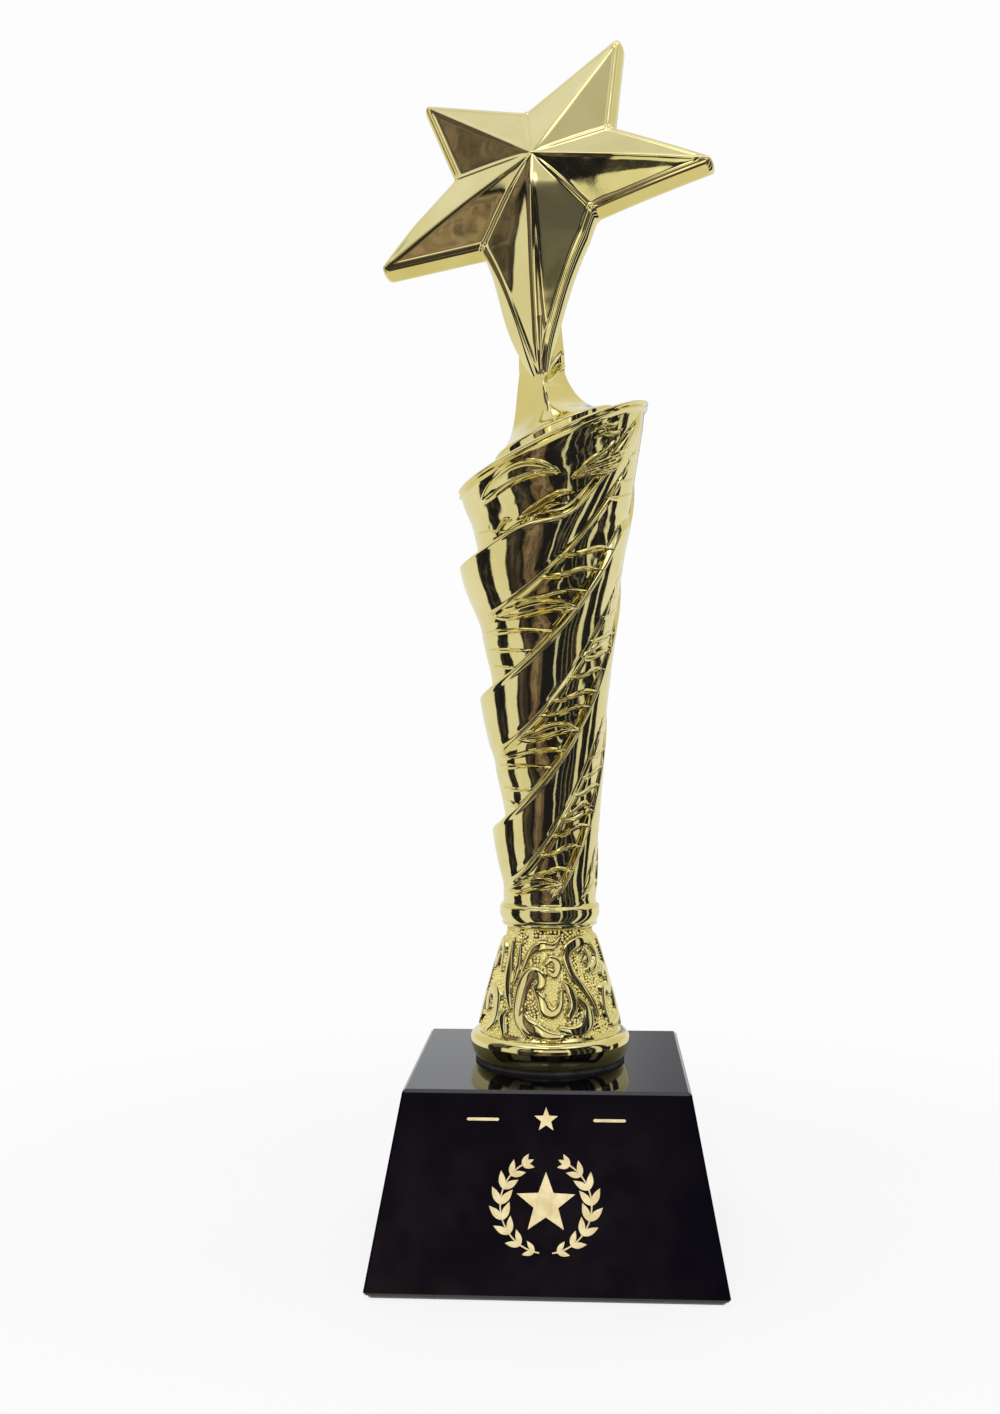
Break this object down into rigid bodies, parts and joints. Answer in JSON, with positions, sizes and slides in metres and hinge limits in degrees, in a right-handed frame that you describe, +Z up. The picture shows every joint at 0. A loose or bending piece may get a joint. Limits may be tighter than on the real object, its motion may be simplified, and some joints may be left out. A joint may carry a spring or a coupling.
{
  "type": "star trophy",
  "caption": "Award trophy: a slanted five-pointed star on a ribbon-wound tapering column with a scrolled bell foot, bolted to a black crystal base.",
  "frame": {"origin": "centre of the felt's underside, which stands on the table", "axes": "+Z is up along the column's axis, -Y is the front that the star faces, +X is the viewer's right"},
  "size_m": [0.1021, 0.0998, 0.3728],
  "materials": {
    "gold": "mirror-polished gold plating",
    "black_glass": "polished black crystal",
    "felt": "matt felt",
    "gasket": "matt soft rubber",
    "steel": "bright zinc-plated",
    "brass": "turned",
    "nylon": "matt",
    "fibre": "matt vulcanised fibre"
  },
  "bodies": {
    "root": {"felt_pad": "felt", "base_block": "black_glass", "foot_gasket": "gasket", "scroll_bell": "gold", "collar_ring": "gold", "column": "gold", "crown_stem": "gold", "star": "gold", "star_dowel": "steel", "stem_insert": "brass", "tie_rod": "steel", "rod_bush": "nylon", "fibre_washer": "fibre", "flat_washer": "steel", "spring_washer": "steel", "hex_nut": "steel"}
  },
  "joints": []
}
